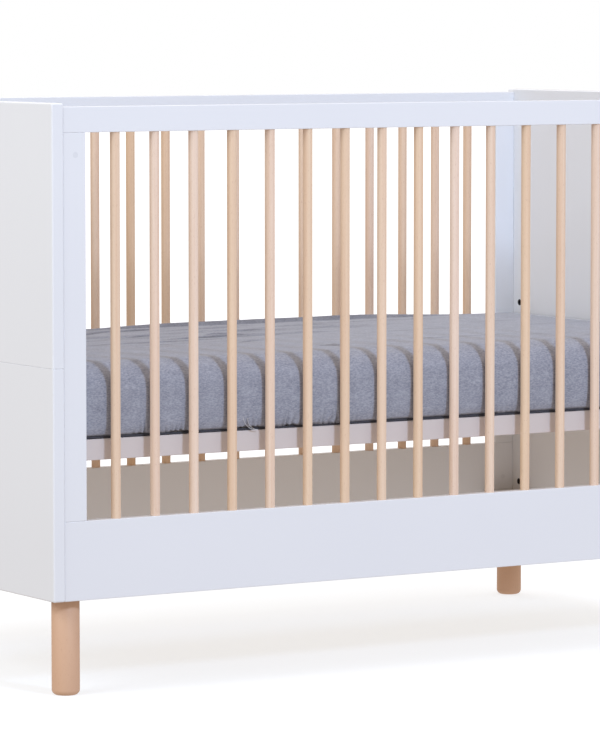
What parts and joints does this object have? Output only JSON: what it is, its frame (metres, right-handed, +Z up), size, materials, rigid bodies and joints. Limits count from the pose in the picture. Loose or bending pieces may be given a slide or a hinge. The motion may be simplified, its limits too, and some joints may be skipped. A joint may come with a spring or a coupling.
{
  "type": "baby crib",
  "caption": "Baby crib with flat panelled ends, round-bar sides, turned corner legs, a height-adjustable slatted base and a mattress in a fitted sheet.",
  "frame": {"origin": "on the floor under the centre of the crib", "axes": "+X along the crib, -Y to the front, +Z up"},
  "size_m": [1.449, 0.76, 0.982],
  "materials": {
    "white_lacquer": "satin white lacquer on board and solid wood",
    "beech": "clear matt lacquer on turned beech",
    "slat_wood": "planed, unfinished",
    "sheet_jersey": "melange cotton jersey, matt",
    "mattress_cover": "plain woven cover, matt",
    "steel": "zinc plated",
    "socket_plastic": "moulded, matt",
    "cap_plastic": "moulded, matt"
  },
  "bodies": {
    "crib": {"back_apron": "white_lacquer", "back_bars": "beech", "back_left_corner_block": "white_lacquer", "back_left_leg": "beech", "back_left_stile": "white_lacquer", "back_right_corner_block": "white_lacquer", "back_right_leg": "beech", "back_right_stile": "white_lacquer", "back_top_rail": "white_lacquer", "barrel_nut_caps": "cap_plastic", "barrel_nuts": "steel", "connector_bolts": "steel", "corner_block_dowels": "beech", "end_panel_dowels": "beech", "front_apron": "white_lacquer", "front_bars": "beech", "front_left_corner_block": "white_lacquer", "front_left_leg": "beech", "front_left_stile": "white_lacquer", "front_right_corner_block": "white_lacquer", "front_right_leg": "beech", "front_right_stile": "white_lacquer", "front_top_rail": "white_lacquer", "left_lower_end_panel": "white_lacquer", "left_upper_end_panel": "white_lacquer", "leg_bolt_inserts": "steel", "leg_bolts": "steel", "right_lower_end_panel": "white_lacquer", "right_upper_end_panel": "white_lacquer", "stile_dowels": "beech", "support_sockets": "socket_plastic"},
    "base": {"base_back_rail": "white_lacquer", "base_centre_beam": "slat_wood", "base_dowels": "beech", "base_front_rail": "white_lacquer", "base_left_rail": "white_lacquer", "base_right_rail": "white_lacquer", "base_slats": "slat_wood", "slat_screws": "steel"},
    "mattress": {"mattress": "mattress_cover", "fitted_sheet": "sheet_jersey"},
    "back_left_pin": {"back_left_support_pin": "steel"},
    "back_right_pin": {"back_right_support_pin": "steel"},
    "front_left_pin": {"front_left_support_pin": "steel"},
    "front_right_pin": {"front_right_support_pin": "steel"}
  },
  "joints": [
    {"name": "base_lift", "type": "slide", "parent": "crib", "child": "base", "axis": [0, 0, 1], "range_m": [0, 0.175]},
    {"name": "mattress_lift", "type": "slide", "parent": "base", "child": "mattress", "axis": [0, 0, 1], "range_m": [0, 0.56]},
    {"name": "back_left_pin_pull", "type": "slide", "parent": "crib", "child": "back_left_pin", "axis": [1, 0, 0], "range_m": [0, 0.018]},
    {"name": "back_right_pin_pull", "type": "slide", "parent": "crib", "child": "back_right_pin", "axis": [-1, 0, 0], "range_m": [0, 0.018]},
    {"name": "front_left_pin_pull", "type": "slide", "parent": "crib", "child": "front_left_pin", "axis": [1, 0, 0], "range_m": [0, 0.018]},
    {"name": "front_right_pin_pull", "type": "slide", "parent": "crib", "child": "front_right_pin", "axis": [-1, 0, 0], "range_m": [0, 0.018]}
  ]
}
